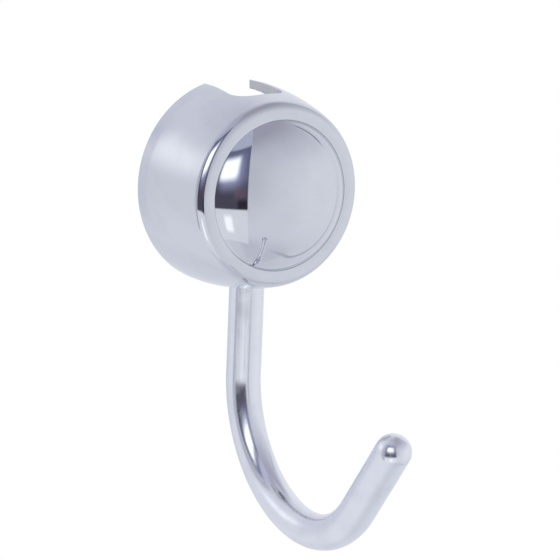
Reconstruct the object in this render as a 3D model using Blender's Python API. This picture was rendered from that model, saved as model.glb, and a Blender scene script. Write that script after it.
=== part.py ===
"""Robe hook: a round chromed cover over a wall bracket, and a round bar bent to a J.

Metres, +Z up. The wall is the plane y = 0 and the hook stands out from it towards -Y. The origin
is the centre of the wall face, on the cover's axis. A depth is a distance from the wall. Turned
pieces are drawn as (radius, depth) outlines, and their own Z axis is laid along -Y.
"""
import math

import bmesh
import bpy
from mathutils import Matrix, Vector

MM = 0.001

# Clearances: between pieces that touch, between the set screw's boss and the lug it slides past,
# how far a cutter passes the surface that it opens, and how close two points are made one
fit_gap = 0.3 * MM
lug_clearance = 0.9 * MM
overrun = 2.0 * MM
weld_distance = 0.001 * MM

# Cover: rim, straight band, curved taper and front edge
rim_radius = 23.5 * MM
rim_band_depth = 4.6 * MM
rim_edge_radius = 0.25 * MM
cover_taper = 2.66 * MM
cover_start_slope = math.radians(2.5)
cover_edge_fillet = 0.15 * MM
cover_wall = 2.0 * MM
cover_front_wall = 1.4 * MM

# Notches in the cover's rim, a little narrower at the rim than inside: one at the top, and one
# below that lets the bar through, both sized by the room that they leave round the bar
notch_side_room = 2.4 * MM
notch_front_room = 2.3 * MM
notch_draft = 0.65 * MM
notch_flat_half = 1.5 * MM

# Ring round the front: its step in from the cover's edge, its height, its round shoulder that
# carries the skirt's line on, its crowned face and its sloping inner edge
bezel_step = 0.12 * MM
bezel_width = 3.99 * MM
bezel_height = 1.4 * MM
bezel_shoulder_radius = 2.4 * MM
bezel_crown_angle = math.radians(5)
bezel_slope_width = 0.35 * MM
bezel_slope_depth = 1.4 * MM
bezel_spigot_wall = 0.8 * MM

# Dome inside the ring: how far its edge lies below the ring's crest, its rise as an oval cap, and
# how much wider than the cap the whole oval is
dome_sink = 0.58 * MM
dome_rise = 6.98 * MM
dome_oval_margin = 1.67 * MM
dome_sheet = 1.1 * MM
dome_edge_radius = 0.3 * MM

# Bar: round stock, its lean in the block, and its two bends
bar_radius = 4.0 * MM
bar_lean = math.radians(4.3)
bar_straight_below = 43.7 * MM
bar_first_bend_radius = 28.0 * MM
bar_first_bend_angle = math.radians(74.6)
bar_second_bend_radius = 25.4 * MM
bar_second_bend_angle = math.radians(71.0)
bar_arm_length = 20.8 * MM
bar_end_chamfer = 0.5 * MM
bar_flat_cut = 0.8 * MM
bar_flat_margin = 1.0 * MM
bar_top_margin = 2.0 * MM

# Wall plate: a disc with two flats, two slots near its edge, and a lug folded forward under the
# cover's set screw between two slits
plate_thickness = 2.0 * MM
plate_flat_cut = 3.7 * MM
wall_slot_inset = 5.7 * MM
wall_slot_width = 5.0 * MM
wall_slot_length = 8.0 * MM
lug_bend_radius = 1.0 * MM
lug_slit = 0.8 * MM
lug_side_room = 1.2 * MM
lug_end_room = 1.4 * MM

# Block that holds the bar: the metal behind, before and above its bore, and round its screws
block_back_wall = 3.6 * MM
block_front_wall = 3.9 * MM
block_top_wall = 4.0 * MM
block_side_wall = 2.8 * MM
block_bottom_wall = 4.0 * MM
block_screw_web = 1.4 * MM
block_front_room = 1.2 * MM
block_edge_bevel = 0.8 * MM

# Grub screws on the bar's flat, set back a little in the block
grub_radius = 2.5 * MM
grub_web = 1.4 * MM
grub_inset = 0.7 * MM
grub_hex = 2.5 * MM
grub_hex_depth = 1.8 * MM
grub_chamfer = 0.5 * MM

# Countersunk screws from the back of the plate into the block
block_screw_radius = 1.5 * MM
block_screw_head_radius = 2.75 * MM
block_screw_length = 9.0 * MM
block_screw_recess = 0.1 * MM
block_screw_hex = 1.8 * MM
block_screw_hex_depth = 0.9 * MM
block_screw_offset_z = 6.0 * MM
block_screw_chamfer = 0.4 * MM

# Set screw in the underside of the cover, and its boss; the angle runs clockwise from the top
set_screw_angle = math.radians(140)
set_screw_depth = 6.0 * MM
set_screw_radius = 2.0 * MM
set_screw_recess = 0.4 * MM
set_screw_hex = 2.0 * MM
set_screw_hex_depth = 2.0 * MM
set_screw_chamfer = 0.4 * MM
boss_wall = 1.3 * MM
boss_height = 2.4 * MM

# How finely round shapes are cut
TURN_SEGMENTS = 72
BAR_SEGMENTS = 24
SCREW_SEGMENTS = 24
BEND_STEPS = 12
TAPER_STEPS = 8
DOME_STEPS = 12
FILLET_STEPS = 3
SHOULDER_STEPS = 6
TIP_STEPS = 5
SHARP_ANGLE = math.radians(35)

# The turn that lays a piece's Z axis along -Y, and the way forward from the wall
FACING = Matrix.Rotation(math.pi / 2, 4, "X")
FORWARD = Vector((0, -1, 0))


# Sizes that follow: the bar sets the block's depth, and the block sets the cover's
bore_radius = bar_radius + fit_gap
block_back_depth = plate_thickness + fit_gap
bar_depth_at_axis = block_back_depth + block_back_wall + bore_radius
block_front_depth = bar_depth_at_axis + bore_radius + block_front_wall
front_inner_depth = block_front_depth + block_front_room
cover_front_depth = front_inner_depth + cover_front_wall

# The grub screws set the bar's top and flat, and the bar's bore sets the block's width
grub_spacing = 2 * (grub_radius + fit_gap) + grub_web
grub_tip = bar_radius - bar_flat_cut + fit_gap
grub_length = bore_radius + block_front_wall - grub_tip - grub_inset
grub_heights = {"upper": grub_spacing / 2, "lower": -grub_spacing / 2}
bar_top = grub_spacing / 2 + grub_radius + bar_top_margin
bar_flat_length = bar_top + grub_spacing / 2 + grub_radius + bar_flat_margin
block_screw_offset_x = bore_radius + block_screw_web + block_screw_radius
block_half_width = block_screw_offset_x + block_side_wall
block_top = bar_top + block_top_wall
block_bottom = -block_screw_offset_z - block_bottom_wall
block_screw_places = {"upper": (block_screw_offset_x, block_screw_offset_z),
                      "lower": (-block_screw_offset_x, -block_screw_offset_z)}

# The rim sets the plate, the boss with its lug, and the front with its ring and dome
inner_rim_radius = rim_radius - cover_wall
plate_radius = inner_rim_radius - fit_gap
plate_half_height = plate_radius - plate_flat_cut
boss_radius = set_screw_radius + fit_gap + boss_wall
boss_inner_radius = inner_rim_radius - boss_height
lug_face_radius = boss_inner_radius - lug_clearance
lug_gap_half_width = boss_radius + lug_side_room
lug_depth = set_screw_depth + boss_radius + lug_end_room
cover_front_radius = rim_radius - cover_taper
bezel_radius = cover_front_radius - bezel_step
bezel_bore_radius = bezel_radius - bezel_width
bezel_spigot_radius = bezel_bore_radius + bezel_spigot_wall
front_opening_radius = bezel_spigot_radius + fit_gap
bezel_seat_depth = cover_front_depth + fit_gap
bezel_crest_depth = bezel_seat_depth + bezel_height
groove_depth = bezel_crest_depth - bezel_slope_depth
dome_foot_depth = bezel_crest_depth - dome_sink
notch_half_width = bar_radius + notch_side_room
notch_rim_half_width = notch_half_width - notch_draft
notch_corner_radius = notch_half_width - notch_flat_half
notch_depth = bar_depth_at_axis + bar_radius + notch_front_room

# The bar's own frame, in which its shank is upright, stands where the bar crosses the cover's axis
bar_frame = Matrix.Translation(FORWARD * bar_depth_at_axis) @ Matrix.Rotation(bar_lean, 4, "X")


def remove_everything():
    for item in list(bpy.data.objects):
        bpy.data.objects.remove(item)


def finish(name, colour, roughness, metallic=1.0):
    """A Principled material with the piece's colour and gloss."""
    made = bpy.data.materials.new(name)
    made.use_nodes = True
    shader = made.node_tree.nodes["Principled BSDF"]
    shader.inputs["Base Color"].default_value = (*colour, 1.0)
    shader.inputs["Roughness"].default_value = roughness
    shader.inputs["Metallic"].default_value = metallic
    return made


def piece(name, bm, material=None, matrix=None, parent=None):
    """Turn a bmesh into a named object, closed and facing out."""
    bmesh.ops.recalc_face_normals(bm, faces=bm.faces)
    mesh = bpy.data.meshes.new(name)
    bm.to_mesh(mesh)
    bm.free()
    made = bpy.data.objects.new(name, mesh)
    bpy.context.scene.collection.objects.link(made)
    if matrix is not None:
        made.matrix_world = matrix
    if parent is not None:
        made.parent = parent
    if material is not None:
        mesh.materials.append(material)
        mesh.shade_smooth()
        mesh.set_sharp_from_angle(angle=SHARP_ANGLE)
    return made


def combine(target, tool, operation):
    """Cut a tool out of a piece, or join it on; the tool itself isn't part of the model."""
    change = target.modifiers.new(tool.name, "BOOLEAN")
    change.operation = operation
    change.object = tool
    change.solver = "EXACT"
    tool.hide_render = True
    tool.display_type = "WIRE"


def cut(target, tool):
    combine(target, tool, "DIFFERENCE")


def join(target, tool):
    combine(target, tool, "UNION")


def turned(outline, segments=TURN_SEGMENTS):
    """Spin a closed (radius, depth) outline about the Z axis; points on the axis are merged."""
    bm = bmesh.new()
    points = [bm.verts.new((radius, 0, depth)) for radius, depth in outline]
    for first, second in zip(points, points[1:] + points[:1]):
        if first.co.x > 0 or second.co.x > 0:
            bm.edges.new((first, second))
    bmesh.ops.spin(bm, geom=bm.verts[:] + bm.edges[:], axis=(0, 0, 1), cent=(0, 0, 0),
                   angle=math.tau, steps=segments, use_merge=True)
    bmesh.ops.remove_doubles(bm, verts=bm.verts, dist=weld_distance)
    return bm


def prism(points, offset):
    """A flat outline of 3-D points, extruded by an offset."""
    bm = bmesh.new()
    face = bm.faces.new([bm.verts.new(point) for point in points])
    grown = bmesh.ops.extrude_face_region(bm, geom=[face])["geom"]
    moved = [item for item in grown if isinstance(item, bmesh.types.BMVert)]
    bmesh.ops.translate(bm, verts=moved, vec=offset)
    return bm


def cylinder(radius, low, high, segments=SCREW_SEGMENTS, low_radius=None):
    """A cylinder or a cone along Z, from one height to another."""
    bm = bmesh.new()
    middle = Matrix.Translation((0, 0, (low + high) / 2))
    first = radius if low_radius is None else low_radius
    bmesh.ops.create_cone(bm, cap_ends=True, segments=segments, radius1=first, radius2=radius,
                          depth=high - low, matrix=middle)
    return bm


def hexagon(across_flats, low, high):
    """A hexagonal key socket along Z."""
    return cylinder(across_flats / math.sqrt(3), low, high, segments=6)


def arc(centre, radius, start, end, steps):
    """Points of an arc, as (x, y) pairs, from one angle to another, both ends included."""
    angles = [start + (end - start) * i / steps for i in range(steps + 1)]
    return [(centre[0] + radius * math.cos(a), centre[1] + radius * math.sin(a)) for a in angles]


def threaded_pin(radius, length, chamfer):
    """Outline of a screw's shank, from its chamfered tip at zero to its flat end."""
    return [(0, 0), (radius - chamfer, 0), (radius, chamfer), (radius, length), (0, length)]


def taper_arc():
    """The skirt's outline from the band to the front edge: one arc that starts nearly straight."""
    run = cover_front_depth - rim_band_depth
    fall = rim_radius - cover_front_radius
    half_turn = math.atan2(fall, run) - cover_start_slope
    radius = math.hypot(run, fall) / (2 * math.sin(half_turn))
    points = []
    for i in range(TAPER_STEPS + 1):
        slope = cover_start_slope + 2 * half_turn * i / TAPER_STEPS
        depth = rim_band_depth + radius * (math.sin(slope) - math.sin(cover_start_slope))
        drop = radius * (math.cos(cover_start_slope) - math.cos(slope))
        points.append((rim_radius - drop, depth))
    return points


def skirt_radius(depth):
    """The cover's outer radius at a depth behind its front edge."""
    if depth <= rim_band_depth:
        return rim_radius
    points = taper_arc()
    for (r0, d0), (r1, d1) in zip(points, points[1:]):
        if depth <= d1:
            return r0 + (r1 - r0) * (depth - d0) / (d1 - d0)
    return cover_front_radius


def radial_frame(depth, angle):
    """A frame on the cover's axis whose Z points outward at an angle clockwise from the top."""
    return Matrix.Translation(FORWARD * depth) @ Matrix.Rotation(angle, 4, "Y")


def slot_points(half_width, half_length, steps):
    """Outline of a round-ended slot along its second coordinate."""
    reach = half_length - half_width
    upper = arc((0, reach), half_width, 0, math.pi, steps)
    lower = arc((0, -reach), half_width, math.pi, math.tau, steps)
    return upper + lower


def make_cover_shell(chrome, parent):
    """Cast cover: band, curved skirt and front wall, with two rim notches and a screw boss."""
    edge = rim_edge_radius
    taper = taper_arc()
    corner = (cover_front_radius - cover_edge_fillet, cover_front_depth - cover_edge_fillet)
    outer = [(rim_radius - edge, fit_gap), (rim_radius, fit_gap + edge)]
    outer += [point for point in taper if point[1] < corner[1]]
    outer += arc(corner, cover_edge_fillet, 0, math.pi / 2, FILLET_STEPS)
    opening = [(front_opening_radius, cover_front_depth), (front_opening_radius, front_inner_depth)]
    inner_front = skirt_radius(front_inner_depth) - cover_wall
    inner = [(inner_front, front_inner_depth), (inner_rim_radius, rim_band_depth)]
    inner += [(inner_rim_radius, fit_gap)]
    shell = piece("cover_shell", turned(outer + opening + inner), chrome, FACING, parent)

    side = notch_rim_half_width
    bottom = notch_depth - notch_corner_radius
    half = notch_half_width - notch_corner_radius
    outline = [(side, -overrun), (side, fit_gap)]
    outline += arc((half, bottom), notch_corner_radius, 0, math.pi / 2, FILLET_STEPS * 2)
    outline += arc((-half, bottom), notch_corner_radius, math.pi / 2, math.pi, FILLET_STEPS * 2)
    outline += [(-side, fit_gap), (-side, -overrun)]
    reach = rim_radius + overrun
    for name, sign in (("notch_top", 1), ("notch_bottom", -1)):
        points = [(x, -depth, 0) for x, depth in outline]
        cut(shell, piece(name, prism(points, (0, 0, sign * reach)), parent=parent))

    line = radial_frame(set_screw_depth, set_screw_angle)
    boss_top = inner_rim_radius + cover_wall / 2
    boss = piece("boss", cylinder(boss_radius, boss_inner_radius, boss_top), None, line, parent)
    join(shell, boss)
    hole_radius = set_screw_radius + fit_gap
    hole = cylinder(hole_radius, boss_inner_radius - overrun, rim_radius + overrun)
    cut(shell, piece("set_screw_hole", hole, None, line, parent))
    return shell


def make_bezel_ring(chrome, parent):
    """Turned ring with a round shoulder, a gently crowned face and a spigot for the cover."""
    middle = math.pi / 2
    crown_outer, crown_inner = middle - bezel_crown_angle, middle + bezel_crown_angle
    shoulder = bezel_shoulder_radius
    foot = math.asin(math.sin(crown_outer) - bezel_height / shoulder)
    centre_radius = bezel_radius - shoulder * math.cos(foot)
    centre_depth = bezel_seat_depth - shoulder * math.sin(foot)
    outline = arc((centre_radius, centre_depth), shoulder, foot, crown_outer, SHOULDER_STEPS)
    face_outer, face_depth = outline[-1]
    face_inner = bezel_bore_radius + bezel_slope_width
    crown_radius = (face_outer - face_inner) / (2 * math.sin(bezel_crown_angle))
    crown_centre = ((face_outer + face_inner) / 2, face_depth - crown_radius * math.sin(crown_outer))
    outline += arc(crown_centre, crown_radius, crown_outer, crown_inner, FILLET_STEPS)[1:]
    outline += [(bezel_bore_radius, groove_depth)]
    outline += [(bezel_bore_radius, front_inner_depth)]
    outline += [(bezel_spigot_radius, front_inner_depth), (bezel_spigot_radius, bezel_seat_depth)]
    return piece("bezel_ring", turned(outline), chrome, FACING, parent)


def make_front_dome(chrome, parent):
    """Pressed cap: a full, oval dome with a short skirt that is pushed into the ring's bore."""
    edge = dome_edge_radius
    radius = bezel_bore_radius - fit_gap
    crown = radius - edge
    oval_half_width = crown + dome_oval_margin
    cap_share = 1 - math.sqrt(1 - (crown / oval_half_width) ** 2)
    oval_half_height = dome_rise / cap_share
    centre = dome_foot_depth + dome_rise - oval_half_height

    def cap(end_radius, thinner):
        """Oval arc from the axis out to a radius; the sheet makes the inner one thinner."""
        width, height = oval_half_width - thinner, oval_half_height - thinner
        spread = math.asin(end_radius / width)
        return [(width * math.sin(spread * i / DOME_STEPS),
                 centre + height * math.cos(spread * i / DOME_STEPS))
                for i in range(DOME_STEPS + 1)]

    inner_radius = radius - dome_sheet
    outer = cap(crown, 0) + [(radius, dome_foot_depth - edge), (radius, front_inner_depth)]
    inner = [(inner_radius, front_inner_depth)] + cap(inner_radius, dome_sheet)[::-1]
    return piece("front_dome", turned(outer + inner), chrome, FACING, parent)


def make_wall_plate(zinc_plated):
    """Pressed steel disc with two flats, two wall slots, a folded lug and countersunk holes."""
    corner = math.asin(plate_half_height / plate_radius)
    steps = TURN_SEGMENTS // 3
    right = arc((0, 0), plate_radius, -corner, corner, steps)
    left = arc((0, 0), plate_radius, math.pi - corner, math.pi + corner, steps)
    points = [(x, 0, z) for x, z in right + left]
    plate = piece("wall_plate", prism(points, FORWARD * plate_thickness), zinc_plated)

    for name, side, turn in (("slot_left", -1, 0), ("slot_right", 1, math.pi / 2)):
        outline = slot_points(wall_slot_width / 2, wall_slot_length / 2, FILLET_STEPS * 2)
        ring = [(x, 0, z) for x, z in outline]
        tool = prism(ring, FORWARD * (plate_thickness + 2 * overrun))
        place = Matrix.Translation((side * (plate_radius - wall_slot_inset), overrun, 0))
        cut(plate, piece(name, tool, None, place @ Matrix.Rotation(turn, 4, "Y")))

    line = radial_frame(0, set_screw_angle)
    outer_bend = lug_bend_radius + plate_thickness
    bend_radial = lug_face_radius - outer_bend
    foot = bend_radial - plate_thickness
    half = lug_gap_half_width - lug_slit
    side = lug_gap_half_width
    past_edge = plate_radius + overrun
    ring = [(-side, overrun, bend_radial), (side, overrun, bend_radial)]
    ring += [(side, overrun, past_edge), (-side, overrun, past_edge)]
    tool = prism(ring, FORWARD * (plate_thickness + 2 * overrun))
    cut(plate, piece("lug_relief", tool, None, line))
    bend = (bend_radial, outer_bend)
    outline = [(foot, 0)]
    outline += arc(bend, outer_bend, -math.pi / 2, 0, FILLET_STEPS * 2)
    outline += [(lug_face_radius, lug_depth), (lug_face_radius - plate_thickness, lug_depth)]
    outline += arc(bend, lug_bend_radius, 0, -math.pi / 2, FILLET_STEPS)
    outline += [(foot, plate_thickness)]
    ring = [(-half, -depth, radial) for radial, depth in outline]
    join(plate, piece("lug", prism(ring, (2 * half, 0, 0)), None, line))

    hole_radius = block_screw_radius + fit_gap
    head_radius = block_screw_head_radius + fit_gap
    cone_depth = head_radius - hole_radius
    outline = [(0, -overrun), (head_radius, -overrun), (head_radius, 0), (hole_radius, cone_depth),
               (hole_radius, plate_thickness + overrun), (0, plate_thickness + overrun)]
    for where, (x, z) in block_screw_places.items():
        tool = turned(outline, SCREW_SEGMENTS)
        place = Matrix.Translation((x, 0, z)) @ FACING
        cut(plate, piece("countersink_" + where, tool, None, place))
    return plate


def make_rod_block(cast_zinc):
    """Cast block with a leaning bore for the bar, and threaded holes for its four screws."""
    half = block_half_width
    corners = [(-half, block_bottom), (half, block_bottom), (half, block_top), (-half, block_top)]
    points = [(x, -block_back_depth, z) for x, z in corners]
    block = piece("rod_block", prism(points, FORWARD * (block_front_depth - block_back_depth)),
                  cast_zinc)
    soften = block.modifiers.new("edges", "BEVEL")
    soften.width = block_edge_bevel
    soften.segments = 2
    soften.limit_method = "ANGLE"

    reach = lug_face_radius - plate_thickness - fit_gap
    room = piece("room_inside_the_lug", cylinder(reach, -overrun, block_front_depth + overrun,
                                                 TURN_SEGMENTS), None, FACING)
    combine(block, room, "INTERSECT")

    bore = cylinder(bore_radius, block_bottom - overrun, bar_top + fit_gap, BAR_SEGMENTS)
    cut(block, piece("bar_bore", bore, None, bar_frame))
    for where, height in grub_heights.items():
        hole = cylinder(grub_radius + fit_gap, 0, block_front_depth - bar_depth_at_axis + overrun)
        place = bar_frame @ Matrix.Translation((0, 0, height)) @ FACING
        cut(block, piece("grub_hole_" + where, hole, None, place))
    end = block_screw_recess + block_screw_length + fit_gap
    for where, (x, z) in block_screw_places.items():
        hole = cylinder(block_screw_radius + fit_gap, 0, end)
        place = Matrix.Translation((x, 0, z)) @ FACING
        cut(block, piece("block_hole_" + where, hole, None, place))
    return block


def ring_edges(geometry):
    return [item for item in geometry if isinstance(item, bmesh.types.BMEdge)]


def make_hook_rod(chrome):
    """Round bar: straight shank, two bends in one plane, a straight arm and a half-round tip."""
    bm = bmesh.new()
    bmesh.ops.create_circle(bm, radius=bar_radius - bar_end_chamfer, segments=BAR_SEGMENTS,
                            cap_ends=True, matrix=Matrix.Translation((0, 0, bar_top)))
    ring = bm.edges[:]

    def extrude(ring, offset, centre, scale=1.0):
        """Carry the open ring on by an offset, and scale it about its new centre."""
        grown = bmesh.ops.extrude_edge_only(bm, edges=ring)["geom"]
        points = [item for item in grown if isinstance(item, bmesh.types.BMVert)]
        bmesh.ops.translate(bm, verts=points, vec=offset)
        move = Matrix.Translation(centre) @ Matrix.Scale(scale, 4) @ Matrix.Translation(-centre)
        bmesh.ops.transform(bm, matrix=move, verts=points)
        return ring_edges(grown)

    centre = Vector((0, 0, bar_top - bar_end_chamfer))
    grow = bar_radius / (bar_radius - bar_end_chamfer)
    ring = extrude(ring, Vector((0, 0, -bar_end_chamfer)), centre, grow)
    start = Vector((0, 0, -bar_straight_below))
    ring = extrude(ring, start - centre, start)

    heading = Vector((0, 0, -1))
    centre = start
    bends = [(bar_first_bend_radius, bar_first_bend_angle),
             (bar_second_bend_radius, bar_second_bend_angle)]
    for radius, angle in bends:
        inward = Vector((0, heading.z, -heading.y))
        pivot = centre + inward * radius
        turn = Matrix.Rotation(-angle, 4, "X")
        spun = bmesh.ops.spin(bm, geom=ring, cent=pivot, axis=(1, 0, 0), angle=-angle,
                              steps=BEND_STEPS)["geom_last"]
        ring = ring_edges(spun)
        centre = pivot + turn @ (centre - pivot)
        heading = turn @ heading

    ring = extrude(ring, heading * bar_arm_length, centre + heading * bar_arm_length)
    centre = centre + heading * bar_arm_length
    reach = 0
    size = 1.0
    for i in range(1, TIP_STEPS + 1):
        angle = math.pi / 2 * i / (TIP_STEPS + 1)
        step = bar_radius * math.sin(angle) - reach
        reach += step
        centre = centre + heading * step
        ring = extrude(ring, heading * step, centre, math.cos(angle) / size)
        size = math.cos(angle)
    bmesh.ops.edgeloop_fill(bm, edges=ring)
    bar = piece("hook_rod", bm, chrome, bar_frame)

    flat_side = bar_radius - bar_flat_cut
    low = bar_top - bar_flat_length
    high = bar_top + overrun
    side = bar_radius + overrun
    points = [(-side, -flat_side, low), (side, -flat_side, low),
              (side, -flat_side, high), (-side, -flat_side, high)]
    cut(bar, piece("bar_flat", prism(points, FORWARD * (bar_flat_cut + overrun)), None, bar_frame))
    return bar


def make_screw(name, outline, across_flats, socket_low, socket_high, steel, matrix, parent=None):
    """A turned screw along Z with a hexagon socket cut into it between two heights."""
    screw = piece(name, turned(outline, SCREW_SEGMENTS), steel, matrix, parent)
    socket = hexagon(across_flats, socket_low, socket_high)
    cut(screw, piece(name + "_socket", socket, None, matrix, parent))
    return screw


def make_rod_grub_screws(steel):
    """Two socket grub screws, square to the bar and bearing on its flat."""
    outline = threaded_pin(grub_radius, grub_length, grub_chamfer)
    for where, height in grub_heights.items():
        place = bar_frame @ Matrix.Translation((0, -grub_tip, height)) @ FACING
        make_screw("rod_grub_screw_" + where, outline, grub_hex, grub_length - grub_hex_depth,
                   grub_length + overrun, steel, place)


def make_block_screws(steel):
    """Two countersunk screws that hold the block to the plate, heads flush with the wall face."""
    head = block_screw_head_radius
    shank = block_screw_radius
    start = block_screw_recess
    end = start + block_screw_length
    outline = [(0, start), (head, start), (shank, start + head - shank),
               (shank, end - block_screw_chamfer), (shank - block_screw_chamfer, end), (0, end)]
    for where, (x, z) in block_screw_places.items():
        place = Matrix.Translation((x, 0, z)) @ FACING
        make_screw("block_screw_" + where, outline, block_screw_hex, -overrun,
                   start + block_screw_hex_depth, steel, place)


def make_set_screw(steel, parent):
    """Hexagon socket set screw in the cover's boss, its tip just off the lug."""
    tip = lug_face_radius + fit_gap
    length = skirt_radius(set_screw_depth) - set_screw_recess - tip
    line = radial_frame(set_screw_depth, set_screw_angle) @ Matrix.Translation((0, 0, tip))
    outline = threaded_pin(set_screw_radius, length, set_screw_chamfer)
    make_screw("set_screw", outline, set_screw_hex, length - set_screw_hex_depth,
               length + overrun, steel, line, parent)


def build():
    remove_everything()
    chrome = finish("polished_chrome", (0.72, 0.73, 0.77), 0.06)
    zinc_plated = finish("zinc_plated_steel", (0.62, 0.63, 0.64), 0.38)
    cast_zinc = finish("cast_zinc", (0.46, 0.47, 0.49), 0.5)
    steel = finish("stainless_steel", (0.5, 0.5, 0.5), 0.3)

    make_wall_plate(zinc_plated)
    make_rod_block(cast_zinc)
    make_block_screws(steel)
    make_hook_rod(chrome)
    make_rod_grub_screws(steel)

    cover_axis = bpy.data.objects.new("cover_axis", None)
    bpy.context.scene.collection.objects.link(cover_axis)
    make_cover_shell(chrome, cover_axis)
    make_bezel_ring(chrome, cover_axis)
    make_front_dome(chrome, cover_axis)
    make_set_screw(steel, cover_axis)


build()
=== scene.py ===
import math

import bmesh
import bpy
from mathutils import Matrix, Vector, kdtree


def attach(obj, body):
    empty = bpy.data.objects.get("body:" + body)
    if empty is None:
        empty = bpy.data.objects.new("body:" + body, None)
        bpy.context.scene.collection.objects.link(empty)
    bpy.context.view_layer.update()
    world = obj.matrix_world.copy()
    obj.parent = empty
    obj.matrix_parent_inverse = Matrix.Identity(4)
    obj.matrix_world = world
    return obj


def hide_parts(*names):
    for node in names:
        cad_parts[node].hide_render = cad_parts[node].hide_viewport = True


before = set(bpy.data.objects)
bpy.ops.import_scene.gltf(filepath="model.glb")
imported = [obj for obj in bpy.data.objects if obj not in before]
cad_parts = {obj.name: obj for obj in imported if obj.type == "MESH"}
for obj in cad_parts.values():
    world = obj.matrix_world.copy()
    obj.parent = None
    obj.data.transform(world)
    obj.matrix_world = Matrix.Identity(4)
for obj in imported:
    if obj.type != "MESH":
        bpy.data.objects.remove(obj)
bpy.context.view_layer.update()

# Camera: the hook was photographed from its left front and a little above, through a long lens.
# Its place was fitted to the outline of the cover and to the two edges of the bar, and is counted
# from the cover's rim.
mm = 0.001
rim_depth = 0.3 * mm
camera_azimuth = math.radians(-32.401)
camera_elevation = math.radians(12.443)
camera_distance = 578.98 * mm
camera_right = 11.895 * mm
camera_up = -22.594 * mm
focal_pixels = 2546.4
image_width = 560


def placed(name, data):
    """A new object in the scene."""
    made = bpy.data.objects.new(name, data)
    bpy.context.scene.collection.objects.link(made)
    return made


view_right = Vector((math.cos(camera_azimuth), math.sin(camera_azimuth), 0))
view_back = Vector((math.sin(camera_azimuth) * math.cos(camera_elevation),
                    -math.cos(camera_azimuth) * math.cos(camera_elevation),
                    math.sin(camera_elevation)))
view_up = view_back.cross(view_right)
lens = bpy.data.cameras.new("studio_camera")
lens.sensor_width = 36
lens.lens = focal_pixels * lens.sensor_width / image_width
lens.clip_start = 10 * mm
lens.clip_end = 20
camera = placed("studio_camera", lens)
place = view_back * camera_distance + view_right * camera_right + view_up * camera_up
turn = Matrix((view_right, view_up, view_back)).transposed().to_4x4()
camera.matrix_world = Matrix.Translation(place + Vector((0, -rim_depth, 0))) @ turn
bpy.context.scene.camera = camera
bpy.context.scene.view_settings.view_transform = "Standard"


# Studio: a light tent, as such chromed fittings are photographed in. The world is the tent that the
# metal mirrors: pale cloth with an opening towards the camera, in which the dim room and a window
# show, and a lamp behind the cloth at the left. For the camera the background is white.
def node(tree, kind, settings=None, **inputs):
    """A shader node with its settings. An input takes a value, a colour of three or four parts, or
    another node's output."""
    made = tree.nodes.new(kind)
    for name, value in (settings or {}).items():
        setattr(made, name, value)
    for name, value in inputs.items():
        name = name.replace("_", " ").strip()
        socket = made.inputs[int(name)] if name.isdigit() else made.inputs[name]
        if isinstance(value, bpy.types.NodeSocket):
            tree.links.new(value, socket)
        elif socket.type == "RGBA":
            socket.default_value = (*value[:3], 1)
        else:
            socket.default_value = value
    return made


def maths(tree, operation, *values, kind="ShaderNodeMath"):
    """The output of a Math node, or the one that is in use of a Vector Math node."""
    inputs = {"_%d" % i: value for i, value in enumerate(values)}
    made = node(tree, kind, {"operation": operation}, **inputs)
    return next(output for output in made.outputs if output.enabled)


def vectors(tree, operation, *values):
    """The output of a Vector Math node: a number for a length or a dot product."""
    return maths(tree, operation, *values, kind="ShaderNodeVectorMath")


def share(tree, value, start, end, kind="SMOOTHSTEP"):
    """How far a value is on its way from a start to an end, from 0 to 1."""
    return node(tree, "ShaderNodeMapRange", {"interpolation_type": kind}, Value=value,
                From_Min=start, From_Max=end).outputs[0]


def mixed(tree, mask, under, over, blend="MIX"):
    """One colour laid over another as a mask goes from 0 to 1."""
    return node(tree, "ShaderNodeMixRGB", {"blend_type": blend}, Fac=mask, Color1=under,
                Color2=over).outputs["Color"]


def node_group(name, inputs, outputs):
    """An empty shader node group with named sockets, and its input and output nodes."""
    made = bpy.data.node_groups.new(name, "ShaderNodeTree")
    for socket_name, kind, value in inputs:
        socket = made.interface.new_socket(socket_name, in_out="INPUT", socket_type=kind)
        socket.default_value = value
    for socket_name, kind in outputs:
        made.interface.new_socket(socket_name, in_out="OUTPUT", socket_type=kind)
    return made, made.nodes.new("NodeGroupInput"), made.nodes.new("NodeGroupOutput")


FLOAT, VECTOR = "NodeSocketFloat", "NodeSocketVector"
patch, given, result = node_group(
    "tent_patch",
    [("Azimuth", FLOAT, 0), ("Elevation", FLOAT, 0), ("Middle", FLOAT, 0), ("Half width", FLOAT, 10),
     ("Height", FLOAT, 0), ("Half height", FLOAT, 10), ("Softness", FLOAT, 2)],
    [("Mask", FLOAT)])
half_soft = maths(patch, "MULTIPLY", given.outputs["Softness"], 0.5)
sides = []
for angle, middle, reach in (("Azimuth", "Middle", "Half width"),
                             ("Elevation", "Height", "Half height")):
    away = maths(patch, "SUBTRACT", given.outputs[angle], given.outputs[middle])
    away = maths(patch, "ABSOLUTE", maths(patch, "WRAP", away, 180, -180))
    sides.append(share(patch, away, maths(patch, "ADD", given.outputs[reach], half_soft),
                       maths(patch, "SUBTRACT", given.outputs[reach], half_soft)))
patch.links.new(maths(patch, "MULTIPLY", *sides), result.inputs["Mask"])

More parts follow.
